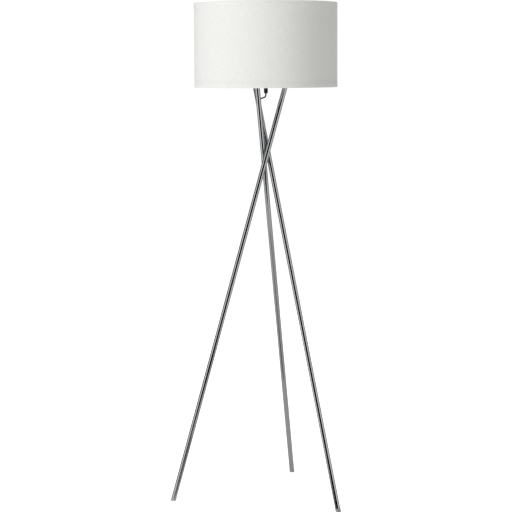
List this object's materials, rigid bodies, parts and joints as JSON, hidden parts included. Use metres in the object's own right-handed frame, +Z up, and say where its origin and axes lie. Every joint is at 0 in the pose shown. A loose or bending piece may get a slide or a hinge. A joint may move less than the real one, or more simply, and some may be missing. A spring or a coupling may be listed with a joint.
{
  "type": "tripod floor lamp",
  "caption": "Tripod floor lamp on straight round chromed legs that cross at a waist, with a white drum shade, a bulb, and a lead with a foot switch.",
  "frame": {"origin": "on the floor, under the centre of the box around the lamp without its lead", "axes": "+Z up, +Y towards the rear leg's foot, +X towards the front right leg's side"},
  "size_m": [0.5643, 0.6952, 1.57],
  "materials": {
    "chrome": "polished",
    "foot_plastic": "satin",
    "zinc": "satin",
    "steel": "satin",
    "brass": "satin",
    "rubber": "matte",
    "black_plastic": "satin",
    "grey_plastic": "satin",
    "lead": "satin",
    "ceramic": "satin",
    "bulb_white": "satin",
    "wire_enamel": "satin",
    "liner": "matte",
    "fabric": "matte"
  },
  "bodies": {
    "stand": {"leg_front_left": "chrome", "leg_front_right": "chrome", "leg_rear": "chrome", "foot_cap_front_left": "foot_plastic", "foot_cap_front_right": "foot_plastic", "foot_cap_rear": "foot_plastic", "leg_insert_front_left": "zinc", "leg_insert_front_right": "zinc", "leg_insert_rear": "zinc", "top_bracket": "zinc", "threaded_tube": "zinc", "bracket_screw_front_left": "steel", "bracket_screw_front_right": "steel", "bracket_screw_rear": "steel", "waist_rivet_front_left_front_right": "steel", "waist_rivet_front_right_rear": "steel", "waist_rivet_rear_front_left": "steel", "bracket_nut": "steel", "switch_spring": "steel", "switch_screw_1": "steel", "switch_screw_2": "steel", "plug_pin_left": "steel", "plug_pin_right": "steel", "terminal_screw_1": "brass", "terminal_screw_2": "brass", "screw_shell": "brass", "centre_contact": "brass", "switch_terminal_1": "brass", "switch_terminal_2": "brass", "outlet_bush": "foot_plastic", "leg_grommet": "rubber", "switch_relief_in": "rubber", "switch_relief_out": "rubber", "coil_tie": "rubber", "cord_grip": "black_plastic", "holder_cap": "black_plastic", "holder_body": "black_plastic", "shade_ring_nut": "black_plastic", "switch_base": "black_plastic", "switch_cover": "black_plastic", "plug_body": "black_plastic", "flex_in_holder": "lead", "flex_loop": "lead", "flex_in_leg": "lead", "lead_to_switch": "lead", "lead_to_coil": "lead", "lead_to_plug": "lead", "lead_coil": "lead", "holder_insulator": "ceramic", "shade_fitter": "wire_enamel", "shade_top_ring": "wire_enamel", "shade_liner": "liner", "shade_fabric": "fabric"},
    "bulb": {"bulb_contact": "steel", "bulb_insulator": "black_plastic", "bulb_cap": "steel", "bulb_body": "bulb_white", "bulb_diffuser": "bulb_white"},
    "switch_button": {"switch_button": "grey_plastic"}
  },
  "joints": [
    {"name": "bulb_screw_out", "type": "slide", "parent": "stand", "child": "bulb", "axis": [0, 0, 1], "range_m": [0, 0.03]},
    {"name": "foot_switch_press", "type": "slide", "parent": "stand", "child": "switch_button", "axis": [0, 0, -1], "range_m": [0, 0.003], "stiffness_N_per_m": 900, "springref_m": -0.003, "deforming": ["switch_spring"]}
  ]
}
